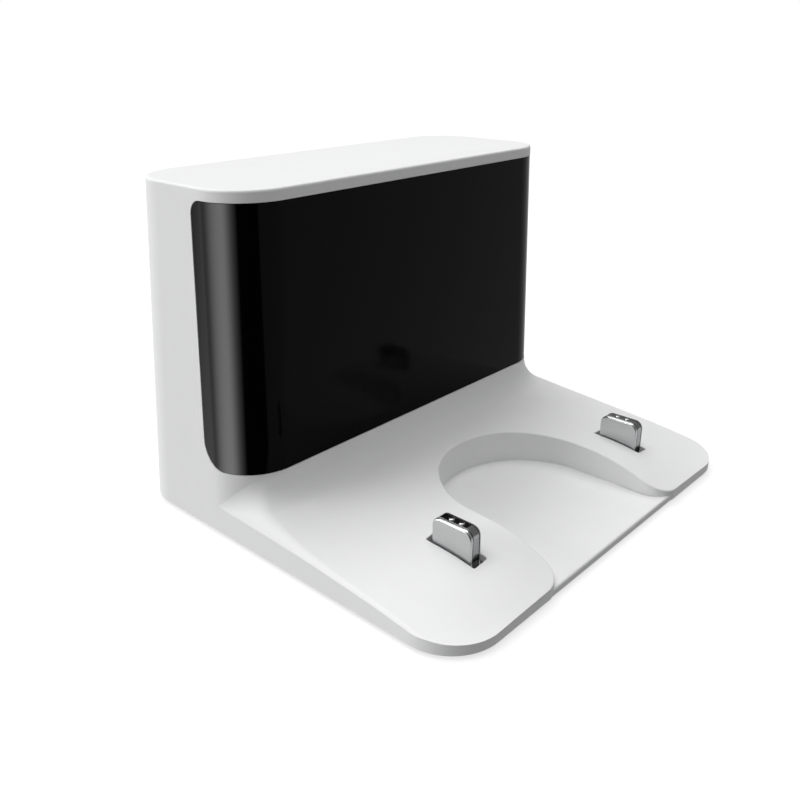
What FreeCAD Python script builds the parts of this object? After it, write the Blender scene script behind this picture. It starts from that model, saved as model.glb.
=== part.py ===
import FreeCAD, Part
import math
import operator
import os
import types

import Sketcher

# Driving sizes in millimetres, angles in degrees, slopes in millimetres per millimetre of height.
SIZES = {
    # Outline of the dock, all heights counted from the floor
    "base_width": 142.0,
    "base_depth": 130.2,
    "dock_height": 97.8,
    "foot_height": 1.0,
    "tower_depth": 55.8,
    "side_slope": 0.048,
    "back_slope": 0.061,
    "tower_corner": 15.0,
    "back_corner": 16.0,
    "front_corner": 15.0,
    "tower_edge_round": 0.7,
    # Crowned ramp: height on the centre line above the base, fall at its sides, roll-over of its edges
    "root_height": 13.1,
    "root_fall": 0.5,
    "root_roll": 7.0,
    "root_behind_face": 20.0,
    "heel_height": 12.9,
    "heel_fall": 2.8,
    "heel_roll": 5.0,
    "heel_ahead_of_face": 8.2,
    "middle_height": 12.6,
    "middle_fall": 4.9,
    "middle_roll": 2.4,
    "shoulder_height": 12.0,
    "shoulder_fall": 6.0,
    "shoulder_roll": 1.6,
    "shoulder_from_lip": 32.0,
    "brow_height": 11.2,
    "brow_fall": 6.5,
    "brow_roll": 1.4,
    "brow_from_lip": 20.2,
    "nose_height": 7.9,
    "nose_fall": 4.7,
    "nose_roll": 1.2,
    "nose_from_lip": 9.2,
    "lip_height": 3.2,
    "lip_fall": 1.0,
    "lip_roll": 0.8,
    "lip_ahead": 1.0,
    "roll_reach": 0.9,
    "roll_end": 0.94,
    "flare_radius": 8.5,
    # Shell
    "wall": 2.0,
    "tower_wall": 3.4,
    "slab_margin": 2.0,
    "knit": 0.05,
    "overrun": 5.0,
    "clear_room": 30.0,
    "seam_gap": 0.15,
    # Wheel recess between the wings
    "recess_width": 54.4,
    "recess_length": 57.0,
    "recess_back_round": 26.8,
    "recess_mouth_round": 7.5,
    "recess_rim_round": 0.5,
    # Base plate
    "plate_thickness": 2.0,
    "plate_nose_setback": 15.0,
    "plate_lip_setback": 0.3,
    "plate_edge_round": 0.6,
    # Window
    "window_bottom": 20.7,
    "window_top": 94.5,
    "window_wrap": 18.6,
    "window_thickness": 1.4,
    "window_sink": 0.1,
    "window_low_round": 8.0,
    "window_high_round": 3.6,
    "aperture_width": 92.0,
    "aperture_low": 34.0,
    "aperture_high": 84.0,
    "aperture_round": 3.0,
    # Contact posts
    "post_spacing": 85.0,
    "post_from_lip": 24.0,
    "post_length": 13.0,
    "post_thickness": 4.4,
    "post_top": 18.1,
    "post_round": 2.6,
    "cheek_round": 0.55,
    "post_flange_width": 8.4,
    "post_flange_height": 1.2,
    "post_flange_base": 6.3,
    "post_flange_ahead": 3.0,
    "post_travel": 2.0,
    "strip_groove": 3.0,
    "strip_thickness": 0.3,
    "dot_spacing": 3.3,
    "dot_radius": 0.75,
    "dot_rise": 0.3,
    "dot_edge_round": 0.24,
    "slot_end_gap": 1.6,
    "slot_side_gap": 0.45,
    "slot_round": 0.6,
    "slot_rim_round": 0.3,
    "strip_side_gap": 0.3,
    "strip_edge_round": 0.1,
    "boss_margin": 2.0,
    "boss_clearance": 0.3,
    # Spring and its terminal
    "spring_wire": 0.4,
    "spring_diameter": 4.0,
    "spring_turns": 3.0,
    "spring_gap": 0.3,
    "terminal_thickness": 0.4,
    "terminal_width": 7.0,
    "terminal_length": 14.0,
    "terminal_tab": 6.0,
    "terminal_pocket": 1.2,
    "terminal_gap": 0.3,
    # Rear cover and cable bay
    "cover_width": 100.0,
    "cover_top": 86.0,
    "cover_lift": 1.2,
    "cover_thickness": 2.2,
    "cover_round": 6.0,
    "cover_ledge": 8.0,
    "cover_screw_low": 22.0,
    "cover_boss_length": 6.0,
    "bay_width": 78.0,
    "bay_top": 60.0,
    "bay_depth": 12.0,
    "bay_wall": 1.6,
    "bay_round": 5.0,
    "winder_spacing": 52.0,
    "winder_height": 42.0,
    "winder_radius": 5.0,
    "winder_length": 10.0,
    "winder_cap_radius": 8.0,
    "winder_cap_thickness": 1.6,
    # Power board and what stands on it
    "board_width": 96.0,
    "board_depth": 27.0,
    "board_thickness": 1.6,
    "board_lift": 4.0,
    "board_behind_face": 11.0,
    "board_boss_radius": 3.2,
    "board_hole_side": 10.0,
    "board_hole_end": 4.0,
    "inlet_width": 20.0,
    "inlet_height": 17.0,
    "inlet_length": 19.0,
    "inlet_proud": 1.0,
    "inlet_mouth_depth": 14.5,
    "inlet_mouth_round": 4.2,
    "inlet_mouth_width": 14.4,
    "inlet_mouth_height": 8.6,
    "inlet_pin_radius": 1.2,
    "inlet_pin_spacing": 6.6,
    "inlet_pin_length": 9.5,
    "inlet_pin_seat": 2.0,
    "inlet_pin_tip": 0.5,
    "inlet_gap": 0.4,
    "transformer_width": 22.0,
    "transformer_depth": 20.0,
    "transformer_height": 19.0,
    "transformer_core": 9.0,
    "transformer_winding": 14.0,
    "transformer_round": 4.0,
    "transformer_x": -22.0,
    "transformer_y": 13.5,
    "can_round": 1.0,
    "bulk_radius": 6.5,
    "bulk_height": 22.0,
    "bulk_x": 24.0,
    "bulk_y": 15.5,
    "output_radius": 4.0,
    "output_height": 16.0,
    "output_x": -43.5,
    "output_y": 13.5,
    "choke_radius": 6.5,
    "choke_hole": 3.0,
    "choke_thickness": 7.0,
    "choke_round": 1.6,
    "choke_x": 40.5,
    "choke_y": 13.5,
    "fuse_radius": 2.6,
    "fuse_length": 15.0,
    "fuse_cap_length": 3.0,
    "fuse_cap_rise": 0.2,
    "fuse_y": 5.7,
    # Beacon behind the window
    "shield_width": 100.0,
    "shield_height": 58.0,
    "shield_depth": 5.0,
    "shield_base": 30.0,
    "beacon_count": 5,
    "beacon_pitch": 17.0,
    "beacon_cell_width": 13.0,
    "beacon_cell_height": 22.0,
    "beacon_height": 62.0,
    "beacon_radius": 2.5,
    "beacon_length": 4.0,
    "beacon_flange": 3.0,
    "beacon_flange_height": 0.8,
    "beacon_dome": 1.8,
    "shield_screw_inset": 3.5,
    # Leads
    "lead_radius": 0.8,
    "lead_bend": 2.6,
    "lead_under_board": 13.0,
    "emitter_lead_x": 20.0,
    "emitter_lead_height": 44.0,
    "emitter_lead_out": 5.0,
    "channel_gap": 0.3,
    # Feet and screws
    "foot_radius": 6.0,
    "foot_recess": 0.8,
    "foot_edge_round": 0.5,
    "foot_inset_side": 15.0,
    "foot_inset_back": 14.0,
    "foot_inset_front": 30.0,
    "screw_radius": 1.4,
    "screw_head_radius": 2.6,
    "screw_head_height": 1.0,
    "screw_bite": 5.0,
    "board_screw_bite": 3.5,
    "screw_hole_gap": 0.1,
    "screw_boss_radius": 3.8,
    "screw_boss_height": 12.0,
    "screw_inset_side": 5.4,
    "screw_inset_back": 28.0,
    "screw_ahead_of_face": 8.0,
}

doc = FreeCAD.newDocument("charging_dock")
sheet = doc.addObject("Spreadsheet::Sheet", "sizes")
for row, (alias, value) in enumerate(SIZES.items(), start=1):
    sheet.set(f"A{row}", alias)
    sheet.set(f"B{row}", str(value))
    sheet.setAlias(f"B{row}", alias)
doc.recompute()

# How near an edge has to lie to be picked by its place
HAIR = 0.05

SIGNS = {"+": operator.add, "-": operator.sub, "*": operator.mul, "/": operator.truediv}


class Dim:
    """A size that carries its number and the sheet expression that gives it."""

    def __init__(self, number, text):
        self.number = number
        self.text = text

    @staticmethod
    def of(value):
        """Plain numbers become sizes too."""
        return value if isinstance(value, Dim) else Dim(float(value), repr(float(value)))

    @staticmethod
    def joined(left, sign, right):
        """The size that a sum, difference, product or quotient gives."""
        left, right = Dim.of(left), Dim.of(right)
        return Dim(SIGNS[sign](left.number, right.number), f"({left.text} {sign} {right.text})")

    def __add__(self, other):
        return Dim.joined(self, "+", other)

    def __radd__(self, other):
        return Dim.joined(other, "+", self)

    def __sub__(self, other):
        return Dim.joined(self, "-", other)

    def __rsub__(self, other):
        return Dim.joined(other, "-", self)

    def __mul__(self, other):
        return Dim.joined(self, "*", other)

    def __rmul__(self, other):
        return Dim.joined(other, "*", self)

    def __truediv__(self, other):
        return Dim.joined(self, "/", other)

    def __neg__(self):
        return Dim.joined(0.0, "-", self)


size = types.SimpleNamespace(**{alias: Dim(value, f"sizes.{alias}") for alias, value in SIZES.items()})

# Reference lines that several pieces share
half_width = size.base_width / 2
back_line = size.base_depth / 2
front_line = -back_line
face_line = back_line - size.tower_depth
base_bottom = size.foot_height
plate_top = base_bottom + size.plate_thickness
corner_line = face_line + size.tower_corner
post_line = front_line + size.post_from_lip
slab_height = size.root_height + size.flare_radius + size.slab_margin
slab_top = base_bottom + slab_height


def bind(item, sizes):
    """Tie properties of a document object to the sheet."""
    for name, value in sizes.items():
        item.setExpression(name, Dim.of(value).text)


def new_body(name):
    """A PartDesign body that carries one piece or one tool."""
    body = doc.addObject("PartDesign::Body", name)
    body.Label = name
    return body


def sketch_on(body, role, level=0.0):
    """A sketch parallel to one of the body's own planes, at a level along the matching axis."""
    plane = next(item for item in body.Origin.OriginFeatures if item.Role == role)
    sketch = body.newObject("Sketcher::SketchObject", "outline")
    sketch.AttachmentSupport = [(plane, "")]
    sketch.MapMode = "FlatFace"
    offset = -Dim.of(level) if role == "XZ_Plane" else Dim.of(level)
    sketch.AttachmentOffset = FreeCAD.Placement(FreeCAD.Vector(0, 0, offset.number), FreeCAD.Rotation())
    bind(sketch, {"AttachmentOffset.Base.z": offset})
    return sketch


def place(sketch, axis, item, point, value):
    """Hold one point of a sketch at a coordinate given by a size."""
    value = Dim.of(value)
    index = sketch.addConstraint(Sketcher.Constraint(f"Distance{axis}", -1, 1, item, point, value.number))
    sketch.setExpression(f"Constraints[{index}]", value.text)


def hold_radius(sketch, item, value):
    """Hold the radius of an arc or a circle at a size."""
    value = Dim.of(value)
    index = sketch.addConstraint(Sketcher.Constraint("Radius", item, value.number))
    sketch.setExpression(f"Constraints[{index}]", value.text)


def draw_outline(sketch, corners):
    """Closed outline of level and upright lines through corners (x, y, round), round None for sharp."""
    points = [FreeCAD.Vector(Dim.of(x).number, Dim.of(y).number, 0) for x, y, _ in corners]
    count = len(points)
    ways = [(points[(i + 1) % count] - points[i]).normalize() for i in range(count)]
    rounds = [0.0 if corner[2] is None else Dim.of(corner[2]).number for corner in corners]
    lines = []
    for i in range(count):
        start = points[i] + ways[i] * rounds[i]
        end = points[(i + 1) % count] - ways[i] * rounds[(i + 1) % count]
        lines.append(sketch.addGeometry(Part.LineSegment(start, end)))
    for i in range(count):
        upright = abs(ways[i].x) < abs(ways[i].y)
        sketch.addConstraint(Sketcher.Constraint("Vertical" if upright else "Horizontal", lines[i]))
        axis, value = ("X", corners[i][0]) if upright else ("Y", corners[i][1])
        place(sketch, axis, lines[i], 1, value)
    for i in range(count):
        before, after = lines[i - 1], lines[i]
        if corners[i][2] is None:
            sketch.addConstraint(Sketcher.Constraint("Coincident", before, 2, after, 1))
            continue
        way_in, way_out = ways[i - 1], ways[i]
        centre = points[i] + (way_out - way_in) * rounds[i]
        left_turn = way_in.cross(way_out).z > 0
        first_way = -way_out if left_turn else way_in
        first = math.atan2(first_way.y, first_way.x)
        circle = Part.Circle(centre, FreeCAD.Vector(0, 0, 1), rounds[i])
        arc = sketch.addGeometry(Part.ArcOfCircle(circle, first, first + math.pi / 2))
        entry, leave = (1, 2) if left_turn else (2, 1)
        sketch.addConstraint(Sketcher.Constraint("Tangent", before, 2, arc, entry))
        sketch.addConstraint(Sketcher.Constraint("Tangent", arc, leave, after, 1))
        hold_radius(sketch, arc, corners[i][2])


def draw_box(sketch, left, low, right, high, round_all=None):
    """Rectangle with equal corner rounds."""
    draw_outline(sketch, [(left, low, round_all), (right, low, round_all),
                          (right, high, round_all), (left, high, round_all)])


def draw_circle(sketch, x, y, radius):
    """Circle whose centre and radius follow the sheet."""
    x, y, radius = Dim.of(x), Dim.of(y), Dim.of(radius)
    centre = FreeCAD.Vector(x.number, y.number, 0)
    circle = sketch.addGeometry(Part.Circle(centre, FreeCAD.Vector(0, 0, 1), radius.number))
    place(sketch, "X", circle, 3, x)
    place(sketch, "Y", circle, 3, y)
    hold_radius(sketch, circle, radius)


def changed(body, feature, before, grows):
    """Recompute and stop if a feature added or removed nothing."""
    doc.recompute()
    after = body.Shape.Volume
    if feature.Shape.isNull() or (after - before) * (1 if grows else -1) <= 0:
        raise RuntimeError(f"{body.Label}: {feature.Label} has no effect")
    return feature


def volume_of(body):
    """Volume so far, nought while the body is empty."""
    return 0.0 if body.Tip is None or body.Shape.isNull() else body.Shape.Volume


def extrude(body, sketch, length, cut=False, flip=False, middle=False):
    """Pad or pocket a sketch by a length."""
    before = volume_of(body)
    feature = body.newObject("PartDesign::Pocket" if cut else "PartDesign::Pad", "cut" if cut else "pad")
    feature.Profile = sketch
    feature.Length = Dim.of(length).number
    bind(feature, {"Length": length})
    feature.Reversed = flip
    feature.Midplane = middle
    return changed(body, feature, before, not cut)


def loft(body, sketches, cut=False, ruled=True):
    """Solid through a row of sketches, added or cut away."""
    before = volume_of(body)
    feature = body.newObject("PartDesign::SubtractiveLoft" if cut else "PartDesign::AdditiveLoft", "loft")
    feature.Profile = sketches[0]
    feature.Sections = sketches[1:]
    feature.Ruled = ruled
    return changed(body, feature, before, not cut)


def combine(body, tool, kind):
    """Cut another body away from this one, or keep what both share."""
    before = volume_of(body)
    feature = body.newObject("PartDesign::Boolean", kind.lower())
    feature.addObject(tool)
    feature.Type = kind
    return changed(body, feature, before, kind == "Fuse")


def soften(body, edges, radius, kind="Fillet"):
    """Round or bevel chosen edges of the body's last feature."""
    before = body.Shape.Volume
    base = body.Tip
    feature = body.newObject(f"PartDesign::{kind}", kind.lower())
    feature.Base = (base, edges)
    prop = "Radius" if kind == "Fillet" else "Size"
    setattr(feature, prop, Dim.of(radius).number)
    bind(feature, {prop: radius})
    doc.recompute()
    if feature.Shape.isNull() or feature.Shape.Volume == before:
        raise RuntimeError(f"{body.Label}: {kind} has no effect")
    return feature


def edges_where(body, wanted):
    """Names of the body's edges that a test on the edge accepts."""
    return [f"Edge{i}" for i, edge in enumerate(body.Shape.Edges, start=1) if wanted(edge)]


# Outer and inner forms of the moulded housing share these sections.

def plan_sketch(body, level, inset, front, front_round):
    """Drafted plan outline of the dock at one height, drawn in by an inset."""
    rise = Dim.of(level) - base_bottom
    right = half_width - size.side_slope * rise - inset
    back = back_line - size.back_slope * rise - inset
    sketch = sketch_on(body, "XY_Plane", level)
    back_round = size.back_corner - inset
    nose, nose_round = front + inset, front_round - inset
    draw_outline(sketch, [(-right, nose, nose_round), (right, nose, nose_round), (right, back, back_round),
                          (-right, back, back_round)])
    return sketch


def tower_loft(body, low, high, inset, cut=False):
    """Drafted tower between two heights."""
    sections = [plan_sketch(body, level, inset, face_line, size.tower_corner) for level in (low, high)]
    return loft(body, sections, cut)


RAMP_STATIONS = {
    "root": face_line + size.root_behind_face,
    "heel": face_line - size.heel_ahead_of_face,
    "middle": (face_line - size.heel_ahead_of_face + front_line + size.shoulder_from_lip) / 2,
    "shoulder": front_line + size.shoulder_from_lip,
    "brow": front_line + size.brow_from_lip,
    "nose": front_line + size.nose_from_lip,
    "lip": front_line - size.lip_ahead,
}


def ramp_section(body, name, lowered):
    """Cross-section of the ramp at one station: a wide crown whose ends roll over into steep sides."""
    rise, fall, roll = (getattr(size, f"{name}_{part}") for part in ("height", "fall", "roll"))
    crown = (half_width * half_width + fall * fall) / (fall * 2)
    crown_centre = base_bottom + rise - lowered - crown
    wall_line = half_width - size.side_slope * (rise - fall) - lowered
    roll_centre = wall_line - roll * size.roll_reach
    roll_end = roll_centre + roll * size.roll_end
    under = base_bottom - size.clear_room
    lean = math.asin(roll_centre.number / (crown.number - roll.number))
    roll_height = crown_centre.number + (crown.number - roll.number) * math.cos(lean)
    steep = math.acos(size.roll_end.number)
    end_height = roll_height + roll.number * math.sin(steep)
    foot = roll_end.number + (end_height - under.number) * math.tan(steep)
    sketch = sketch_on(body, "XZ_Plane", RAMP_STATIONS[name])

    def arc(x, height, radius, first, last):
        circle = Part.Circle(FreeCAD.Vector(x, height, 0), FreeCAD.Vector(0, 0, 1), radius.number)
        item = sketch.addGeometry(Part.ArcOfCircle(circle, first, last))
        hold_radius(sketch, item, radius)
        return item

    def line(start, end):
        return sketch.addGeometry(Part.LineSegment(FreeCAD.Vector(*start, 0), FreeCAD.Vector(*end, 0)))

    upright = math.pi / 2
    top = arc(0, crown_centre.number, crown, upright - lean, upright + lean)
    right = arc(roll_centre.number, roll_height, roll, steep, upright - lean)
    left = arc(-roll_centre.number, roll_height, roll, upright + lean, math.pi - steep)
    left_side = line((-roll_end.number, end_height), (-foot, under.number))
    low = line((-foot, under.number), (foot, under.number))
    right_side = line((foot, under.number), (roll_end.number, end_height))
    for first, last in ((right, top), (top, left), (left, left_side), (right_side, right)):
        sketch.addConstraint(Sketcher.Constraint("Tangent", first, 2, last, 1))
    for first, last in ((left_side, low), (low, right_side)):
        sketch.addConstraint(Sketcher.Constraint("Coincident", first, 2, last, 1))
    sketch.addConstraint(Sketcher.Constraint("Horizontal", low))
    sketch.addConstraint(Sketcher.Constraint("PointOnObject", top, 3, -2))
    place(sketch, "Y", top, 3, crown_centre)
    place(sketch, "Y", low, 1, under)
    for item, sign, end_point in ((right, 1, 1), (left, -1, 2)):
        place(sketch, "X", item, 3, sign * roll_centre)
        place(sketch, "X", item, end_point, sign * roll_end)
    return sketch


def open_space(name, inset, ramp_drop, flare):
    """The space ahead of the tower and over the ramp, its foot rounded into the flare."""
    body = new_body(name)
    reach = half_width + size.overrun
    low, top = base_bottom - size.overrun, slab_top + size.overrun
    plan = sketch_on(body, "XY_Plane", low)
    draw_box(plan, -reach, front_line - size.lip_ahead / 2, reach, corner_line)
    extrude(body, plan, top - low)
    tower_loft(body, low - size.overrun, top + size.overrun, inset + size.knit, cut=True)
    loft(body, [ramp_section(body, station, ramp_drop) for station in RAMP_STATIONS], cut=True, ruled=False)
    foot_line = (face_line + inset).number
    ceiling = (base_bottom + size.root_height + size.slab_margin).number

    def at_tower_foot(edge):
        box = edge.BoundBox
        along = box.YMax - box.YMin + box.XMax - box.XMin > size.slab_margin.number
        beside = foot_line - HAIR < box.YMin < corner_line.number - HAIR
        return along and beside and box.ZMax < ceiling

    soften(body, edges_where(body, at_tower_foot), flare)
    return body


def moulded_form(name, low, slab_inset, tower_inset, ramp_drop, flare, top):
    """Tower, flare and ramp as one solid."""
    space = open_space(f"{name}_space", tower_inset, ramp_drop, flare)
    body = new_body(name)
    loft(body, [plan_sketch(body, level, slab_inset + size.knit, front_line, size.front_corner)
                for level in (low, slab_top)])
    combine(body, space, "Cut")
    tower_loft(body, low, top, tower_inset)
    return body


def recess_outline(sketch, grow):
    """Plan of the wheel recess: round at the back, its mouth flared at the front edge."""
    half = size.recess_width / 2 + grow
    back = front_line + size.recess_length + grow
    mouth = size.recess_mouth_round - grow
    flare_end = half + mouth + size.overrun
    ahead = front_line - size.overrun
    draw_outline(sketch, [(-flare_end, ahead, None), (flare_end, ahead, None), (flare_end, front_line, None),
                          (half, front_line, mouth), (half, back, size.recess_back_round + grow),
                          (-half, back, size.recess_back_round + grow), (-half, front_line, mouth),
                          (-flare_end, front_line, None)])


def plate_box(sketch, grow):
    """Plan of the base plate behind the wings' noses."""
    side = half_width - size.wall - size.knit - size.seam_gap + grow
    back = back_line - size.wall - size.knit - size.seam_gap + grow
    nose = front_line + size.plate_nose_setback - grow
    back_round = size.back_corner - size.wall
    draw_outline(sketch, [(-side, nose, None), (side, nose, None), (side, back, back_round),
                          (-side, back, back_round)])


SIDES = {"left": -1, "right": 1}
slot_half_width = size.post_thickness / 2 + size.slot_side_gap
slot_half_length = size.post_length / 2 + size.slot_end_gap
boss_bottom = size.post_flange_base + size.post_flange_height + size.boss_clearance
BASE_SCREWS = [(side * (half_width - size.screw_inset_side), y) for side in SIDES.values()
               for y in (back_line - size.screw_inset_back, face_line - size.screw_ahead_of_face)]
COVER_SCREWS = [(side * (size.cover_width / 2 - size.cover_ledge / 2), z) for side in SIDES.values()
                for z in (size.cover_top - size.cover_ledge / 2, size.cover_screw_low)]


def window_outline(sketch, grow):
    """Side view of the window: it wraps both corners of the tower and ends on its sides."""
    ahead = face_line - size.overrun
    end = face_line + size.window_wrap + grow
    low, high = size.window_bottom - grow, size.window_top + grow
    draw_outline(sketch, [(ahead, low, None), (end, low, size.window_low_round + grow),
                          (end, high, size.window_high_round + grow), (ahead, high, None)])


def window_shell(name, outer_inset, grow):
    """Skin of the tower between two insets, trimmed to the window's outline."""
    body = new_body(name)
    low, high = size.window_bottom - size.slab_margin, size.window_top + size.slab_margin
    tower_loft(body, low, high, outer_inset)
    inner_inset = size.window_sink + size.window_thickness
    tower_loft(body, low - size.slab_margin, high + size.slab_margin, inner_inset, cut=True)
    trim = sketch_on(body, "YZ_Plane")
    room = size.clear_room
    draw_box(trim, face_line - room, low - room, back_line + room, high + room)
    window_outline(trim, grow)
    extrude(body, trim, size.base_width + room, cut=True, middle=True)
    return body


def tilt(body):
    """Lean a body with the back of the tower."""
    lean = FreeCAD.Rotation(FreeCAD.Vector(1, 0, 0), math.degrees(math.atan(size.back_slope.number)))
    body.Placement = FreeCAD.Placement(FreeCAD.Vector(0, back_line.number, base_bottom.number), lean)
    bind(body, {"Placement.Base.y": back_line, "Placement.Base.z": base_bottom})
    body.setExpression("Placement.Rotation.Angle", "atan(sizes.back_slope)")


def cover_plan(sketch, low, grow):
    """Rear view of the cover, square at its foot."""
    half, top = size.cover_width / 2 + grow, size.cover_top + grow
    draw_outline(sketch, [(-half, low, None), (half, low, None), (half, top, size.cover_round),
                          (-half, top, size.cover_round)])


def rear_opening():
    """Way through the back wall with the ledge that the cover lies on."""
    body = new_body("rear_opening")
    seat = sketch_on(body, "XZ_Plane", size.overrun)
    cover_plan(seat, -size.overrun, size.seam_gap)
    extrude(body, seat, size.cover_thickness + size.overrun)
    way = sketch_on(body, "XZ_Plane")
    cover_plan(way, -size.overrun, -size.cover_ledge)
    extrude(body, way, size.tower_wall + size.cover_boss_length)
    pilots = sketch_on(body, "XZ_Plane")
    for x, z in COVER_SCREWS:
        draw_circle(pilots, x, z, size.screw_radius + size.screw_hole_gap)
    extrude(body, pilots, size.cover_thickness + size.screw_bite)
    tilt(body)
    return body


def make_housing():
    """Moulded shell: tower, flare and crowned ramp, hollow and open below."""
    cavity = moulded_form("cavity", base_bottom - size.overrun, size.wall, size.tower_wall, size.wall,
                          size.flare_radius + size.wall, size.dock_height - size.tower_wall)
    band = sketch_on(cavity, "XY_Plane", slab_top)
    recess_outline(band, size.wall)
    extrude(cavity, band, slab_height + size.clear_room, cut=True)
    for side in SIDES.values():
        seat = sketch_on(cavity, "XY_Plane", boss_bottom)
        centre = side * size.post_spacing / 2
        reach = slot_half_width + size.boss_margin
        draw_box(seat, centre - reach, post_line - slot_half_length - size.boss_margin,
                 centre + reach, post_line + slot_half_length + size.boss_margin)
        extrude(cavity, seat, slab_height, cut=True, flip=True)
    for x, y in BASE_SCREWS:
        column = sketch_on(cavity, "XY_Plane", plate_top + size.screw_boss_height)
        draw_circle(column, x, y, size.screw_boss_radius)
        extrude(cavity, column, size.screw_boss_height + size.clear_room, cut=True)
    posts = sketch_on(cavity, "XZ_Plane", back_line - size.back_slope * size.cover_top - size.tower_wall
                      - size.cover_boss_length)
    for x, z in COVER_SCREWS:
        draw_circle(posts, x, base_bottom + z, size.screw_boss_radius)
    extrude(cavity, posts, size.tower_depth, cut=True)

    body = moulded_form("housing", base_bottom, 0.0, 0.0, 0.0, size.flare_radius, size.dock_height)
    top_edges = edges_where(body, lambda edge: edge.BoundBox.ZMin > size.dock_height.number - HAIR)
    soften(body, top_edges, size.tower_edge_round)
    combine(body, cavity, "Cut")
    recess = sketch_on(body, "XY_Plane", slab_top)
    recess_outline(recess, 0.0)
    extrude(body, recess, slab_height + size.overrun, cut=True)
    floor = sketch_on(body, "XY_Plane", plate_top)
    plate_box(floor, size.seam_gap)
    extrude(body, floor, size.plate_thickness + size.overrun, cut=True)
    slots = sketch_on(body, "XY_Plane", slab_top)
    rooms = sketch_on(body, "XY_Plane", boss_bottom)
    for side in SIDES.values():
        centre = side * size.post_spacing / 2
        draw_box(slots, centre - slot_half_width, post_line - slot_half_length,
                 centre + slot_half_width, post_line + slot_half_length, size.slot_round)
        reach = size.post_flange_width / 2 + size.slot_side_gap
        draw_box(rooms, centre - reach, post_line - size.post_flange_ahead - size.slot_side_gap,
                 centre + reach, post_line + slot_half_length)
    slot_floor = size.post_flange_base - size.post_travel - size.boss_clearance
    extrude(body, slots, slab_top - slot_floor, cut=True)
    extrude(body, rooms, boss_bottom - plate_top, cut=True)
    holes = sketch_on(body, "XY_Plane", plate_top)
    for x, y in BASE_SCREWS:
        draw_circle(holes, x, y, size.screw_radius + size.screw_hole_gap)
    extrude(body, holes, size.screw_bite + size.boss_clearance, cut=True, flip=True)
    combine(body, window_shell("window_seat", -size.slab_margin, size.seam_gap), "Cut")
    aperture = sketch_on(body, "XZ_Plane", face_line)
    half = size.aperture_width / 2
    draw_box(aperture, -half, size.aperture_low, half, size.aperture_high, size.aperture_round)
    extrude(body, aperture, size.tower_wall + size.knit * 2, cut=True)
    combine(body, rear_opening(), "Cut")
    soften_rims(body)


def edges_within(body, left, front, low, right, back):
    """Names of the edges that lie wholly inside a plan rectangle and above a height."""
    def inside(edge):
        box = edge.BoundBox
        across = left.number - HAIR < box.XMin and box.XMax < right.number + HAIR
        along = front.number - HAIR < box.YMin and box.YMax < back.number + HAIR
        return across and along and box.ZMin > low.number + HAIR

    return edges_where(body, inside)


def soften_rims(body):
    """Round the upper rim of the wheel recess and the rims of the two slots."""
    half = size.recess_width / 2
    rim = edges_within(body, -half, front_line + size.recess_mouth_round, base_bottom + size.lip_height,
                       half, front_line + size.recess_length)
    soften(body, rim, size.recess_rim_round)
    for side in SIDES.values():
        centre = side * size.post_spacing / 2
        rim = edges_within(body, centre - slot_half_width, post_line - slot_half_length, boss_bottom,
                           centre + slot_half_width, post_line + slot_half_length)
        soften(body, rim, size.slot_rim_round)


board_front = face_line + size.board_behind_face
board_back = board_front + size.board_depth
board_low = plate_top + size.board_lift
board_top = board_low + size.board_thickness
BOARD_SCREWS = [(side * (size.board_width / 2 - size.board_hole_side), y) for side in SIDES.values()
                for y in (board_front + size.board_hole_end, board_back - size.board_hole_end)]
FOOT_LINES = {"front": front_line + size.foot_inset_front, "back": back_line - size.foot_inset_back}
FEET = {f"{end}_{side}": (sign * (half_width - size.foot_inset_side), y) for side, sign in SIDES.items()
        for end, y in FOOT_LINES.items()}
terminal_low = plate_top - size.terminal_pocket
terminal_top = terminal_low + size.terminal_thickness
terminal_back = post_line + size.terminal_length / 2 + size.terminal_tab
lead_level = terminal_top + size.lead_radius
lead_end = board_front + size.lead_under_board


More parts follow.
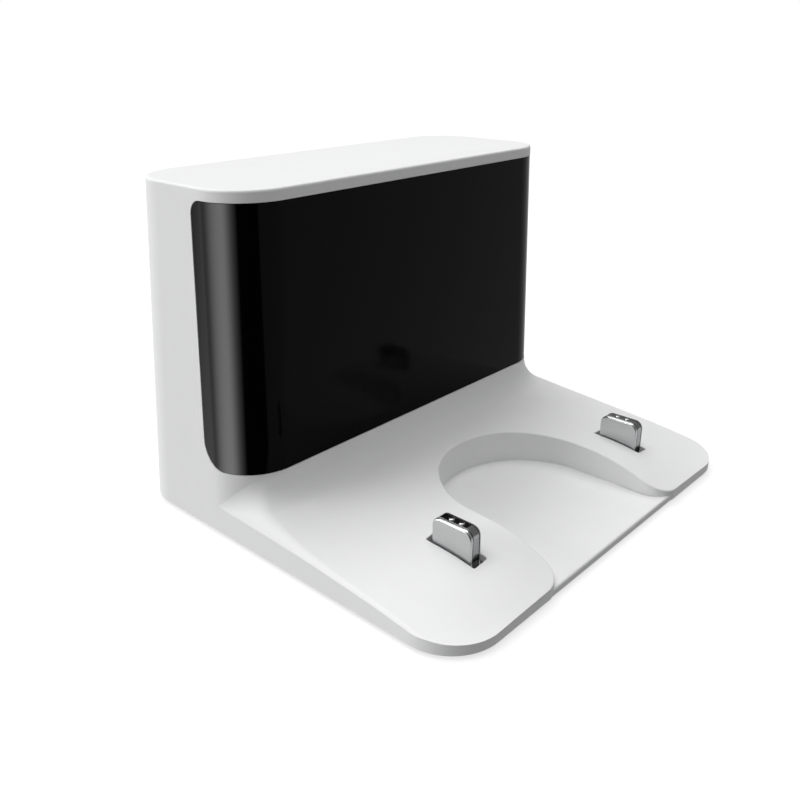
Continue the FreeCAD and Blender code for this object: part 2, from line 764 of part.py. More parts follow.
def make_base_plate():
    """Flat floor of the dock: tongue in the wheel recess, bosses, wire channels and foot recesses."""
    body = new_body("base_plate")
    tongue = sketch_on(body, "XY_Plane", base_bottom)
    recess_outline(tongue, -size.seam_gap)
    extrude(body, tongue, size.plate_thickness)
    ahead = sketch_on(body, "XY_Plane", plate_top)
    lip = front_line + size.plate_lip_setback
    draw_box(ahead, -half_width, front_line - size.overrun * 2, half_width, lip)
    extrude(body, ahead, size.plate_thickness, cut=True)

    def at_lip(edge):
        box = edge.BoundBox
        return box.YMax < lip.number + HAIR and box.ZMin > plate_top.number - HAIR

    soften(body, edges_where(body, at_lip), size.plate_edge_round)
    main = sketch_on(body, "XY_Plane", base_bottom)
    plate_box(main, 0.0)
    extrude(body, main, size.plate_thickness)
    bosses = sketch_on(body, "XY_Plane", plate_top)
    for x, y in BOARD_SCREWS:
        draw_circle(bosses, x, y, size.board_boss_radius)
    extrude(body, bosses, size.board_lift)
    pilots = sketch_on(body, "XY_Plane", board_low)
    for x, y in BOARD_SCREWS:
        draw_circle(pilots, x, y, size.screw_radius + size.screw_hole_gap)
    extrude(body, pilots, size.board_lift, cut=True)
    seats = sketch_on(body, "XY_Plane", plate_top)
    channels = sketch_on(body, "XY_Plane", plate_top)
    for side in SIDES.values():
        centre = side * size.post_spacing / 2
        reach = size.terminal_width / 2 + size.terminal_gap
        draw_box(seats, centre - reach, post_line - size.terminal_length / 2 - size.terminal_gap,
                 centre + reach, terminal_back + size.terminal_gap)
        half = size.lead_radius + size.channel_gap
        draw_box(channels, centre - half, terminal_back - size.terminal_gap, centre + half, lead_end + half)
    extrude(body, seats, size.terminal_pocket, cut=True)
    extrude(body, channels, size.terminal_pocket, cut=True)
    below = [sketch_on(body, "XY_Plane", base_bottom) for _ in range(3)]
    for x, y in FEET.values():
        draw_circle(below[0], x, y, size.foot_radius + size.screw_hole_gap)
    for x, y in BASE_SCREWS:
        draw_circle(below[1], x, y, size.screw_head_radius + size.screw_hole_gap)
        draw_circle(below[2], x, y, size.screw_radius + size.screw_hole_gap)
    for sketch, depth in zip(below, (size.foot_recess, size.screw_head_height, size.plate_thickness)):
        extrude(body, sketch, depth, cut=True, flip=True)


def post_outline(sketch, inset):
    """Side view of a contact post, its two upper corners rounded."""
    half = size.post_length / 2 - inset
    low, high = size.post_flange_base + inset, size.post_top - inset
    draw_outline(sketch, [(post_line - half, low, None), (post_line + half, low, None),
                          (post_line + half, high, size.post_round - inset),
                          (post_line - half, high, size.post_round - inset)])


def make_contact(side):
    """One sprung contact: moulded post, metal strip round it, coil spring and its terminal."""
    centre = SIDES[side] * size.post_spacing / 2
    post = new_body(f"contact_post_{side}")
    core = sketch_on(post, "YZ_Plane", centre)
    post_outline(core, 0.0)
    extrude(post, core, size.post_thickness, middle=True)

    def on_cheek(edge):
        box = edge.BoundBox
        flat = box.XMax - box.XMin < HAIR
        return flat and box.ZMax > (size.post_flange_base + size.post_flange_height).number

    soften(post, edges_where(post, on_cheek), size.cheek_round)
    flange = sketch_on(post, "XY_Plane", size.post_flange_base)
    reach = size.post_flange_width / 2
    draw_box(flange, centre - reach, post_line - size.post_flange_ahead, centre + reach,
             post_line + size.post_length / 2)
    extrude(post, flange, size.post_flange_height)
    groove = sketch_on(post, "YZ_Plane", centre)
    post_outline(groove, -size.strip_thickness)
    post_outline(groove, size.strip_thickness)
    extrude(post, groove, size.strip_groove, cut=True, middle=True)

    strip = new_body(f"contact_strip_{side}")
    band = sketch_on(strip, "YZ_Plane", centre)
    post_outline(band, 0.0)
    post_outline(band, size.strip_thickness)
    extrude(strip, band, size.strip_groove - size.strip_side_gap * 2, middle=True)

    def on_strip_rim(edge):
        box = edge.BoundBox
        flat = box.XMax - box.XMin < HAIR
        above = box.ZMin > size.post_flange_base.number + HAIR
        front = box.YMin < (post_line - size.post_length / 2).number + HAIR
        back = box.YMax > (post_line + size.post_length / 2).number - HAIR
        return flat and above and (front or back or box.ZMax > size.post_top.number - HAIR)

    soften(strip, edges_where(strip, on_strip_rim), size.strip_edge_round)
    dots = sketch_on(strip, "XY_Plane", size.post_top - size.strip_thickness / 2)
    for way in SIDES.values():
        draw_circle(dots, centre, post_line + way * size.dot_spacing / 2, size.dot_radius)
    extrude(strip, dots, size.dot_rise + size.strip_thickness / 2)
    crest = size.post_top.number + size.dot_rise.number - HAIR
    soften(strip, edges_where(strip, lambda edge: edge.BoundBox.ZMin > crest), size.dot_edge_round)

    spring = new_body(f"contact_spring_{side}")
    wire = sketch_on(spring, "XZ_Plane")
    wire_radius = size.spring_wire / 2
    draw_circle(wire, size.spring_diameter / 2 - wire_radius, wire_radius, wire_radius)
    coil = spring.newObject("PartDesign::AdditiveHelix", "coil")
    coil.Profile = wire
    coil.ReferenceAxis = (wire, ["V_Axis"])
    coil.Mode = "height-turns-angle"
    rise = size.post_flange_base - terminal_top - size.spring_gap - size.spring_wire
    coil.Height = rise.number
    coil.Turns = size.spring_turns.number
    bind(coil, {"Height": rise, "Turns": size.spring_turns})
    changed(spring, coil, 0.0, True)
    spring.Placement.Base = FreeCAD.Vector(centre.number, post_line.number, terminal_top.number)
    bind(spring, {"Placement.Base.x": centre, "Placement.Base.y": post_line,
                  "Placement.Base.z": terminal_top})

    terminal = new_body(f"spring_terminal_{side}")
    leaf = sketch_on(terminal, "XY_Plane", terminal_low)
    half = size.terminal_width / 2
    draw_box(leaf, centre - half, post_line - size.terminal_length / 2, centre + half, terminal_back)
    extrude(terminal, leaf, size.terminal_thickness)
    lead_start = terminal_back - size.terminal_tab
    make_lead(f"contact_lead_{side}", centre, lead_start, lead_level, lead_end, board_low)


def make_lead(name, x, start, level, end, end_level):
    """Round wire that runs level to the back, then turns up or down to its end."""
    body = new_body(name)
    x, start, level, end, end_level = (Dim.of(value) for value in (x, start, level, end, end_level))
    path = sketch_on(body, "YZ_Plane", x)
    bend = size.lead_bend
    rising = end_level.number > level.number
    way = 1 if rising else -1
    turn = end - bend
    middle = level + way * bend
    run = path.addGeometry(Part.LineSegment(FreeCAD.Vector(start.number, level.number, 0),
                                            FreeCAD.Vector(turn.number, level.number, 0)))
    circle = Part.Circle(FreeCAD.Vector(turn.number, middle.number, 0), FreeCAD.Vector(0, 0, 1), bend.number)
    first = -math.pi / 2 if rising else 0.0
    arc = path.addGeometry(Part.ArcOfCircle(circle, first, first + math.pi / 2))
    drop = path.addGeometry(Part.LineSegment(FreeCAD.Vector(end.number, middle.number, 0),
                                             FreeCAD.Vector(end.number, end_level.number, 0)))
    near, far = (1, 2) if rising else (2, 1)
    path.addConstraint(Sketcher.Constraint("Horizontal", run))
    path.addConstraint(Sketcher.Constraint("Vertical", drop))
    path.addConstraint(Sketcher.Constraint("Tangent", run, 2, arc, near))
    path.addConstraint(Sketcher.Constraint("Tangent", arc, far, drop, 1))
    place(path, "X", run, 1, start)
    place(path, "Y", run, 1, level)
    place(path, "X", drop, 2, end)
    place(path, "Y", drop, 2, end_level)
    hold_radius(path, arc, bend)
    section = sketch_on(body, "XZ_Plane", start)
    draw_circle(section, x, level, size.lead_radius)
    pipe = body.newObject("PartDesign::AdditivePipe", "wire")
    pipe.Profile = section
    pipe.Spine = (path, [])
    changed(body, pipe, 0.0, True)


def make_rear_cover():
    """Back panel with the cable bay, its two winders and the way out for the inlet."""
    body = new_body("rear_cover")
    panel = sketch_on(body, "XZ_Plane")
    cover_plan(panel, size.plate_thickness + size.seam_gap * 2, 0.0)
    extrude(body, panel, size.cover_thickness)
    half, top = size.bay_width / 2, size.bay_top
    tub = sketch_on(body, "XZ_Plane")
    low = size.plate_thickness + size.cover_lift
    outer, outer_round = half + size.bay_wall, size.bay_round + size.bay_wall
    draw_outline(tub, [(-outer, low, None), (outer, low, None), (outer, top + size.bay_wall, outer_round),
                       (-outer, top + size.bay_wall, outer_round)])
    extrude(body, tub, size.bay_depth + size.bay_wall)
    bay = sketch_on(body, "XZ_Plane")
    draw_outline(bay, [(-half, -size.overrun, None), (half, -size.overrun, None), (half, top, size.bay_round),
                       (-half, top, size.bay_round)])
    extrude(body, bay, size.bay_depth, cut=True, flip=True)
    stems = sketch_on(body, "XZ_Plane", -size.bay_depth)
    caps = sketch_on(body, "XZ_Plane", size.winder_length - size.bay_depth - size.winder_cap_thickness)
    for side in SIDES.values():
        draw_circle(stems, side * size.winder_spacing / 2, size.winder_height, size.winder_radius)
        draw_circle(caps, side * size.winder_spacing / 2, size.winder_height, size.winder_cap_radius)
    extrude(body, stems, size.winder_length - size.winder_cap_thickness, flip=True)
    extrude(body, caps, size.winder_cap_thickness, flip=True)
    window = sketch_on(body, "XZ_Plane", -size.bay_depth)
    reach = size.inlet_width / 2 + size.inlet_gap
    sill = board_top - base_bottom + size.bay_depth * size.back_slope
    draw_box(window, -reach, sill - size.inlet_gap, reach, sill + size.inlet_height + size.inlet_gap * 2)
    extrude(body, window, size.bay_wall, cut=True, flip=True)
    sinks = sketch_on(body, "XZ_Plane")
    holes = sketch_on(body, "XZ_Plane")
    for x, z in COVER_SCREWS:
        draw_circle(sinks, x, z, size.screw_head_radius + size.screw_hole_gap)
        draw_circle(holes, x, z, size.screw_radius + size.screw_hole_gap)
    extrude(body, sinks, size.screw_head_height, cut=True, flip=True)
    extrude(body, holes, size.cover_thickness, cut=True, flip=True)
    tilt(body)


def block(name, left, front, low, right, back, high, round_all=None):
    """Upright block with equal corner rounds."""
    body = new_body(name)
    plan = sketch_on(body, "XY_Plane", low)
    draw_box(plan, left, front, right, back, round_all)
    extrude(body, plan, high - low)
    return body


def can(name, x, y, radius, height):
    """Round can that stands on the power board."""
    body = new_body(name)
    plan = sketch_on(body, "XY_Plane", board_top)
    draw_circle(plan, x, board_front + y, radius)
    extrude(body, plan, height)
    rim = (board_top + height).number - HAIR
    soften(body, edges_where(body, lambda edge: edge.BoundBox.ZMin > rim), size.can_round)


def make_power_board():
    """Mains board: transformer, capacitors, choke, fuse and the two-pole inlet."""
    half = size.board_width / 2
    board = block("power_board", -half, board_front, board_low, half, board_back, board_top)
    holes = sketch_on(board, "XY_Plane", board_top)
    for x, y in BOARD_SCREWS:
        draw_circle(holes, x, y, size.screw_radius + size.screw_hole_gap)
    extrude(board, holes, size.board_thickness, cut=True)

    x, y = size.transformer_x, board_front + size.transformer_y
    core_half, core_depth = size.transformer_width / 2, size.transformer_core / 2
    body = block("transformer", x - core_half, y - core_depth, board_top,
                 x + core_half, y + core_depth, board_top + size.transformer_height)
    winding = sketch_on(body, "XY_Plane", board_top)
    draw_box(winding, x - size.transformer_winding / 2, y - size.transformer_depth / 2,
             x + size.transformer_winding / 2, y + size.transformer_depth / 2, size.transformer_round)
    extrude(body, winding, size.transformer_height - size.transformer_round)

    can("bulk_capacitor", size.bulk_x, size.bulk_y, size.bulk_radius, size.bulk_height)
    can("output_capacitor", size.output_x, size.output_y, size.output_radius, size.output_height)

    choke = new_body("line_choke")
    ring = sketch_on(choke, "XY_Plane", board_top)
    for radius in (size.choke_radius, size.choke_hole):
        draw_circle(ring, size.choke_x, board_front + size.choke_y, radius)
    extrude(choke, ring, size.choke_thickness)
    rims = edges_where(choke, lambda edge: edge.BoundBox.ZMax - edge.BoundBox.ZMin < HAIR)
    soften(choke, rims, size.choke_round)

    fuse = new_body("line_fuse")
    cap_radius = size.fuse_radius + size.fuse_cap_rise
    runs = ((size.fuse_radius, -size.fuse_length / 2, size.fuse_length),
            (cap_radius, -size.fuse_length / 2, size.fuse_cap_length),
            (cap_radius, size.fuse_length / 2 - size.fuse_cap_length, size.fuse_cap_length))
    for radius, start, length in runs:
        end = sketch_on(fuse, "YZ_Plane", start)
        draw_circle(end, board_front + size.fuse_y, board_top + cap_radius, radius)
        extrude(fuse, end, length)


def make_inlet():
    """Two-pole mains inlet: moulded socket on the board's edge and its pair of pins."""
    middle = board_top + size.inlet_height / 2
    face = back_line - size.bay_depth - size.back_slope * (middle - base_bottom) + size.inlet_proud
    half = size.inlet_width / 2
    socket = block("inlet_socket", -half, face - size.inlet_length, board_top, half, face,
                   board_top + size.inlet_height)
    mouth = sketch_on(socket, "XZ_Plane", face)
    draw_box(mouth, -size.inlet_mouth_width / 2, middle - size.inlet_mouth_height / 2,
             size.inlet_mouth_width / 2, middle + size.inlet_mouth_height / 2, size.inlet_mouth_round)
    extrude(socket, mouth, size.inlet_mouth_depth, cut=True, flip=True)
    mouth_floor = face - size.inlet_mouth_depth
    seats = sketch_on(socket, "XZ_Plane", mouth_floor)
    pins = []
    for side, sign in SIDES.items():
        x = sign * size.inlet_pin_spacing / 2
        draw_circle(seats, x, middle, size.inlet_pin_radius + size.screw_hole_gap)
        pin = new_body(f"inlet_pin_{side}")
        tip = mouth_floor + size.inlet_pin_length
        section = sketch_on(pin, "XZ_Plane", tip)
        draw_circle(section, x, middle, size.inlet_pin_radius)
        extrude(pin, section, size.inlet_pin_length + size.inlet_pin_seat)
        front = tip.number - HAIR
        soften(pin, edges_where(pin, lambda edge: edge.BoundBox.YMin > front), size.inlet_pin_tip)
        pins.append(pin)
    extrude(socket, seats, size.inlet_pin_seat, cut=True, flip=True)
    group("inlet_pins", pins)


def make_beacon():
    """Homing beacon behind the window: shield with a cell for each emitter, and the board behind it."""
    half = size.shield_width / 2
    front = face_line + size.tower_wall + size.knit
    board_face = front + size.shield_depth
    top = size.shield_base + size.shield_height
    shield = block("emitter_shield", -half, front, size.shield_base, half, board_face, top)
    board_rear = board_face + size.board_thickness
    board = block("emitter_board", -half, board_face, size.shield_base, half, board_rear, top)
    count = SIZES["beacon_count"]
    spots = [(i - (count - 1) / 2) * size.beacon_pitch for i in range(count)]
    cells = sketch_on(shield, "XZ_Plane", front)
    lights = []
    for number, x in enumerate(spots, start=1):
        draw_box(cells, x - size.beacon_cell_width / 2, size.beacon_height - size.beacon_cell_height / 2,
                 x + size.beacon_cell_width / 2, size.beacon_height + size.beacon_cell_height / 2)
        light = new_body(f"emitter_{number}")
        rim = sketch_on(light, "XZ_Plane", board_face)
        draw_circle(rim, x, size.beacon_height, size.beacon_flange)
        extrude(light, rim, size.beacon_flange_height)
        lens = sketch_on(light, "XZ_Plane", board_face)
        draw_circle(lens, x, size.beacon_height, size.beacon_radius)
        extrude(light, lens, size.beacon_length)
        crown = (board_face - size.beacon_length).number + HAIR
        soften(light, edges_where(light, lambda edge: edge.BoundBox.YMax < crown), size.beacon_dome)
        lights.append(light)
    extrude(shield, cells, size.shield_depth, cut=True)
    group("emitter_leds", lights)
    ways = [sketch_on(piece, "XZ_Plane", level) for piece, level in ((shield, front), (board, board_face))]
    screws = []
    for side in SIDES.values():
        for z in (size.shield_base + size.shield_screw_inset, top - size.shield_screw_inset):
            x = side * (half - size.shield_screw_inset)
            for sketch in ways:
                draw_circle(sketch, x, z, size.screw_radius + size.screw_hole_gap)
            screws.append(screw("XZ_Plane", x, z, board_rear, True, size.board_thickness + size.shield_depth))
    extrude(shield, ways[0], size.shield_depth, cut=True)
    extrude(board, ways[1], size.board_thickness, cut=True)
    group("emitter_screws", screws)
    make_lead("emitter_lead", size.emitter_lead_x, board_rear, size.emitter_lead_height,
              board_rear + size.emitter_lead_out, board_top)


def screw(role, across, up, seat, head_flip, shank):
    """Pan-head screw seated on a plane, head one way and shank the other."""
    body = new_body("screw")
    for radius, length, flip in ((size.screw_head_radius, size.screw_head_height, head_flip),
                                 (size.screw_radius, shank, not head_flip)):
        section = sketch_on(body, role, seat)
        draw_circle(section, across, up, radius)
        extrude(body, section, length, flip=flip)
    return body


def group(name, bodies):
    """Like pieces that share one node."""
    compound = doc.addObject("Part::Compound", name)
    compound.Label = name
    compound.Links = bodies


def make_screws():
    """Screws of the base plate, the power board and the rear cover."""
    seat = base_bottom + size.screw_head_height
    rest = size.plate_thickness - size.screw_head_height
    shank = rest + size.screw_bite
    group("base_screws", [screw("XY_Plane", x, y, seat, True, shank) for x, y in BASE_SCREWS])
    shank = size.board_thickness + size.board_screw_bite
    group("board_screws", [screw("XY_Plane", x, y, board_top, False, shank) for x, y in BOARD_SCREWS])
    rest = size.cover_thickness - size.screw_head_height
    bodies = [screw("XZ_Plane", x, z, -size.screw_head_height, True, rest + size.screw_bite)
              for x, z in COVER_SCREWS]
    for body in bodies:
        tilt(body)
    group("cover_screws", bodies)


def make_feet():
    """Four rubber feet set into the base plate."""
    for place_name, (x, y) in FEET.items():
        body = new_body(f"foot_{place_name}")
        plan = sketch_on(body, "XY_Plane")
        draw_circle(plan, x, y, size.foot_radius)
        extrude(body, plan, size.foot_height + size.foot_recess)
        soften(body, edges_where(body, lambda edge: edge.BoundBox.ZMax < HAIR), size.foot_edge_round)


make_housing()
window_shell("ir_window", size.window_sink, 0.0)
make_base_plate()
for side in SIDES:
    make_contact(side)
make_rear_cover()
make_power_board()
make_inlet()
make_beacon()
make_screws()
make_feet()

PIECES = ["housing", "ir_window", "base_plate", "rear_cover", "power_board", "transformer", "bulk_capacitor",
          "output_capacitor", "line_choke", "line_fuse", "inlet_socket", "inlet_pins", "emitter_shield",
          "emitter_board", "emitter_leds", "emitter_screws", "emitter_lead", "base_screws", "board_screws",
          "cover_screws"]
CONTACT_PIECES = ["contact_post", "contact_strip", "contact_spring", "spring_terminal", "contact_lead"]
PIECES += [f"{piece}_{side}" for side in SIDES for piece in CONTACT_PIECES]
PIECES += [f"foot_{place_name}" for place_name in FEET]

doc.recompute()
for item in doc.Objects:
    if {"Invalid", "Error"} & set(item.State):
        raise RuntimeError(f"{item.Label} failed: {item.State}")
shapes = {}
for name in PIECES:
    shape = doc.getObjectsByLabel(name)[0].Shape
    if shape.isNull() or not shape.isValid():
        raise RuntimeError(f"{name} has no valid shape")
    shapes[name] = shape
os.makedirs("parts", exist_ok=True)
for name, shape in shapes.items():
    shape.exportStep(f"parts/{name}.step")
    print(name, len(shape.Solids), round(shape.Volume, 1))
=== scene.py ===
"""Looks of a robot vacuum charging dock: its finishes, small hardware, studio and camera."""

import logging
import math
from collections.abc import Iterable
from dataclasses import dataclass
from enum import Enum

import bmesh
import bpy
from mathutils import Matrix, Vector


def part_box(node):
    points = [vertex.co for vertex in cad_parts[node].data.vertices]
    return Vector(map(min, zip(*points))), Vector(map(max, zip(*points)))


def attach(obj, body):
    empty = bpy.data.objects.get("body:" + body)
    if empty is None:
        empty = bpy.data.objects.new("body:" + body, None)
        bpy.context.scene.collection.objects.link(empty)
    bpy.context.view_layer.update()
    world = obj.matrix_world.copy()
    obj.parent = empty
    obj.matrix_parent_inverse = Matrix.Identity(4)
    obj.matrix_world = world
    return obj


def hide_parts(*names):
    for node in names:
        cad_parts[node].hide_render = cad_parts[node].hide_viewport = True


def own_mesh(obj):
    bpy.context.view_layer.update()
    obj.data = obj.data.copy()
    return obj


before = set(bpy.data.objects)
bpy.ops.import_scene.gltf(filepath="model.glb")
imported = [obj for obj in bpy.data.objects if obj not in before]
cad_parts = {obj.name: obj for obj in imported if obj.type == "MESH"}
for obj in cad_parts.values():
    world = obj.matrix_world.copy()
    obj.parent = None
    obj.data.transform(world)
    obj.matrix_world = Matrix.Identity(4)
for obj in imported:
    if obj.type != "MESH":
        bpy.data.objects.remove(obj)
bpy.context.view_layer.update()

LOG = logging.getLogger("dock")

Colour = tuple[float, float, float]
Point = tuple[float, float, float]
Socket = bpy.types.NodeSocket

MM = 0.001
FULL_TURN = 2 * math.pi
QUARTER_TURN = math.pi / 2
SHARP_EDGE = math.radians(45.0)
ON_AXIS = 1e-9
SAME_PLACE = 1e-7
MIDWAY = 0.5
INWARD = -1.0

OPAQUE = 1.0
WHITE: Colour = (1.0, 1.0, 1.0)
NEAR_BLACK: Colour = (0.004, 0.004, 0.004)
NOISE_MIDDLE = (0.3, 0.7)
FINE_DETAIL = 2.0
PATCH_DETAIL = 3.0
PATCH_SHARE = 0.025
LEAST_ROUGHNESS = 0.02

SIDES = ("left", "right")
ENDS = ("front", "back")
WINDOW_PIECE = "window_panel"
SCREW_PIECES = ("base_plate_screws", "rear_cover_screws")
CONTACT_PIECES = tuple(f"contact_{part}_{side}" for part in ("post", "strip") for side in SIDES)
METAL_PIECES = SCREW_PIECES + CONTACT_PIECES


class Grain(Enum):
    """Which way the fine texture of a finish runs."""

    EVEN = (1.0, 1.0, 1.0)
    ALONG_Y = (1.0, 0.04, 1.0)


class ShaderTree:
    """Small builder for a node material."""

    def __init__(self, name: str) -> None:
        """Start a material with a principled shader.

        Args:
            name: the material's name.
        """
        self.material = bpy.data.materials.new(name)
        self.material.use_nodes = True
        self.nodes = self.material.node_tree.nodes
        self.links = self.material.node_tree.links
        self.surface = self.nodes["Principled BSDF"]

    def add(self, kind: str, settings: dict[str, str] | None = None, **inputs: object) -> bpy.types.Node:
        """Add a node and feed its sockets.

        Args:
            kind: Blender's node type.
            settings: properties to set on the node.
            inputs: values or output sockets, by socket name with underscores for spaces.

        Returns:
            The new node.
        """
        node = self.nodes.new(kind)
        for key, value in (settings or {}).items():
            setattr(node, key, value)
        for key, value in inputs.items():
            self.feed(node, key.replace("_", " "), value)
        return node

    def feed(self, node: bpy.types.Node, socket: str, value: object) -> None:
        """Link an output socket to an input, or set the input's value.

        Args:
            node: the node that is fed.
            socket: the input's name.
            value: the output socket to link, or the value to set.
        """
        if isinstance(value, Socket):
            self.links.new(value, node.inputs[socket])
        else:
            node.inputs[socket].default_value = value

    def surface_set(self, **inputs: object) -> None:
        """Set or link sockets of the principled shader."""
        for key, value in inputs.items():
            self.feed(self.surface, key.replace("_", " "), value)

    def place(self, grain: Grain) -> Socket:
        """Object coordinates in metres, drawn out along the grain.

        Args:
            grain: which way the texture runs.

        Returns:
            The coordinates.
        """
        coordinates = self.add("ShaderNodeTexCoord")
        mapping = self.add("ShaderNodeMapping", Vector=coordinates.outputs["Object"], Scale=grain.value)
        return mapping.outputs["Vector"]

    def along(self, axis: str) -> Socket:
        """Place along one axis of the object, in metres.

        Args:
            axis: X, Y or Z.

        Returns:
            The place.
        """
        coordinates = self.add("ShaderNodeTexCoord")
        parts = self.add("ShaderNodeSeparateXYZ", Vector=coordinates.outputs["Object"])
        return parts.outputs[axis]

    def noise(self, place: Socket, scale: float, detail: float) -> Socket:
        """Noise value from 0 to 1 at a scale in cells per metre."""
        node = self.add("ShaderNodeTexNoise", Vector=place, Scale=scale, Detail=detail)
        return node.outputs["Fac"]

    def slope(self, value: Socket, span: tuple[float, float], results: tuple[float, float]) -> Socket:
        """Turn a span of values into a span of results, held beyond both ends.

        Args:
            value: the value to turn.
            span: the values where the slope begins and ends.
            results: the results there.

        Returns:
            The result.
        """
        node = self.add("ShaderNodeMapRange", Value=value, From_Min=span[0], From_Max=span[1],
                        To_Min=results[0], To_Max=results[1])
        return node.outputs["Result"]

    def figure(self, operation: str, value: Socket, other: float = 0.0) -> Socket:
        """Work out one sum.

        Args:
            operation: Blender's name of the sum.
            value: the first number.
            other: the second number, where the sum has one.

        Returns:
            The result.
        """
        node = self.add("ShaderNodeMath", {"operation": operation}, Value=value)
        node.inputs[1].default_value = other
        return node.outputs[0]

    def blend(self, share: Socket, first: Socket | Colour, second: Socket | Colour) -> Socket:
        """Mix two colours.

        Args:
            share: how much of the second colour shows, from 0 to 1.
            first: the colour at 0.
            second: the colour at 1.

        Returns:
            The mixed colour.
        """
        node = self.add("ShaderNodeMix", {"data_type": "RGBA"}, Factor=share)
        entries = [socket for socket in node.inputs if socket.type == "RGBA"]
        for entry, colour in zip(entries, (first, second)):
            if isinstance(colour, Socket):
                self.links.new(colour, entry)
            else:
                entry.default_value = (*colour, OPAQUE)
        return next(socket for socket in node.outputs if socket.type == "RGBA")

    def paint(self, mask: Socket, colour: Colour) -> None:
        """Lay a colour over the surface's own where a mask is 1."""
        own = self.surface.inputs["Base Color"].links[0].from_socket
        self.surface_set(Base_Color=self.blend(mask, own, colour))

    def bump(self, height: Socket, strength: float, depth: float) -> None:
        """Relief of a given depth in metres on the surface."""
        node = self.add("ShaderNodeBump", Strength=strength, Distance=depth, Height=height)
        self.surface_set(Normal=node.outputs["Normal"])


@dataclass(frozen=True)
class Finish:
    """A surface finish: tone, gloss and the fine texture that breaks them up."""

    name: str
    colour: Colour
    roughness: float
    mottle: float
    gloss_change: float
    metallic: float = 0.0
    specular: float = 0.5
    coat: float = 0.0
    glow: float = 0.0
    grain: Grain = Grain.EVEN
    grain_scale: float = 2500.0
    grain_depth: float = 0.01 * MM
    grain_strength: float = 0.2

    def material(self) -> bpy.types.Material:
        """Build the node material, once for each finish.

        Returns:
            The material.
        """
        found = bpy.data.materials.get(self.name)
        if found:
            return found
        tree = ShaderTree(self.name)
        place = tree.place(self.grain)
        coarse = tree.noise(place, self.grain_scale * PATCH_SHARE, PATCH_DETAIL)
        fine = tree.noise(place, self.grain_scale, FINE_DETAIL)
        patches = tree.slope(coarse, NOISE_MIDDLE, (0.0, 1.0))
        dark = tuple(part * (1 - self.mottle) for part in self.colour)
        light = tuple(min(1.0, part * (1 + self.mottle)) for part in self.colour)
        glossy = max(self.roughness - self.gloss_change, LEAST_ROUGHNESS)
        dull = self.roughness + self.gloss_change
        tree.surface_set(Metallic=self.metallic, Specular_IOR_Level=self.specular, Coat_Weight=self.coat)
        tree.surface_set(Base_Color=tree.blend(patches, dark, light))
        tree.surface_set(Roughness=tree.slope(fine, NOISE_MIDDLE, (glossy, dull)))
        if self.glow:
            tree.surface_set(Emission_Color=(*WHITE, OPAQUE), Emission_Strength=self.glow)
        tree.bump(fine, self.grain_strength, self.grain_depth)
        self.detail(tree)
        return tree.material

    def detail(self, tree: ShaderTree) -> None:
        """Add what only one finish has; a plain finish has nothing more."""


@dataclass(frozen=True)
class GroovedMetal(Finish):
    """Metal of the contact posts, with the channel under the strip painted black as shade in the gap between
    cheek and strip.
    """

    middle: float = 42.5 * MM
    channel: float = 1.47 * MM

    def detail(self, tree: ShaderTree) -> None:
        """Paint shade into the channel: black where the gap between cheek and strip lies.

        Args:
            tree: the finish's material.
        """
        from_middle = tree.figure("ABSOLUTE", tree.along("X"))
        off_post = tree.figure("SUBTRACT", from_middle, self.middle)
        away = tree.figure("ABSOLUTE", off_post)
        # painted shade: black in the gap between the cheek and the strip
        tree.paint(tree.figure("LESS_THAN", away, self.channel), NEAR_BLACK)


@dataclass(frozen=True)
class ShadedStrip(Finish):
    """Metal of the contact strips, with painted shade on its foot where it runs into its slot and painted
    highlights on its two dots.
    """

    full_shade_level: float = 9.6 * MM
    shade_end_level: float = 10.7 * MM
    dot_level: float = 18.13 * MM
    dot_highlight_colour: Colour = (0.9, 0.9, 0.9)

    def detail(self, tree: ShaderTree) -> None:
        """Paint shade on the foot of the strip and paint highlights on its dots.

        Args:
            tree: the finish's material.
        """
        height = tree.along("Z")
        # painted shade: black fading in towards the slot, where the strip's foot sits in shadow
        tree.paint(tree.slope(height, (self.full_shade_level, self.shade_end_level), (1.0, 0.0)), NEAR_BLACK)
        # painted highlight: the domed dots above this level are painted bright
        tree.paint(tree.figure("GREATER_THAN", height, self.dot_level), self.dot_highlight_colour)


WHITE_SHELL = Finish("satin_white_shell", (0.88, 0.882, 0.885), roughness=0.42, mottle=0.006,
                     gloss_change=0.04, specular=0.1, grain_scale=6000.0, grain_depth=0.004 * MM)
BASE_WHITE = Finish("satin_white_base", (0.87, 0.872, 0.875), roughness=0.45, mottle=0.008,
                    gloss_change=0.05, specular=0.1, grain_scale=6000.0, grain_depth=0.005 * MM)
COVER_WHITE = Finish("textured_white_cover", (0.83, 0.832, 0.835), roughness=0.5, mottle=0.012,
                     gloss_change=0.06, grain_scale=3200.0, grain_depth=0.012 * MM)
SMOKED_GLOSS = Finish("smoked_gloss_window", (0.0015, 0.0015, 0.0016), roughness=0.09, mottle=0.1,
                      gloss_change=0.01, specular=0.045, grain_scale=900.0, grain_depth=0.0005 * MM,
                      grain_strength=0.02)
POST_METAL = GroovedMetal("satin_nickel_post", (0.56, 0.57, 0.57), roughness=0.26, mottle=0.015,
                          gloss_change=0.03, metallic=1.0, grain_scale=9000.0, grain_depth=0.001 * MM,
                          grain_strength=0.1)
POLISHED = ShadedStrip("polished_contact_strip", (0.34, 0.34, 0.35), roughness=0.14, mottle=0.02,
                     gloss_change=0.03, metallic=1.0, grain=Grain.ALONG_Y, grain_scale=8000.0,
                     grain_depth=0.001 * MM, grain_strength=0.1)
SPRING_WIRE = Finish("drawn_spring_wire", (0.5, 0.5, 0.51), roughness=0.28, mottle=0.05,
                     gloss_change=0.06, metallic=1.0)
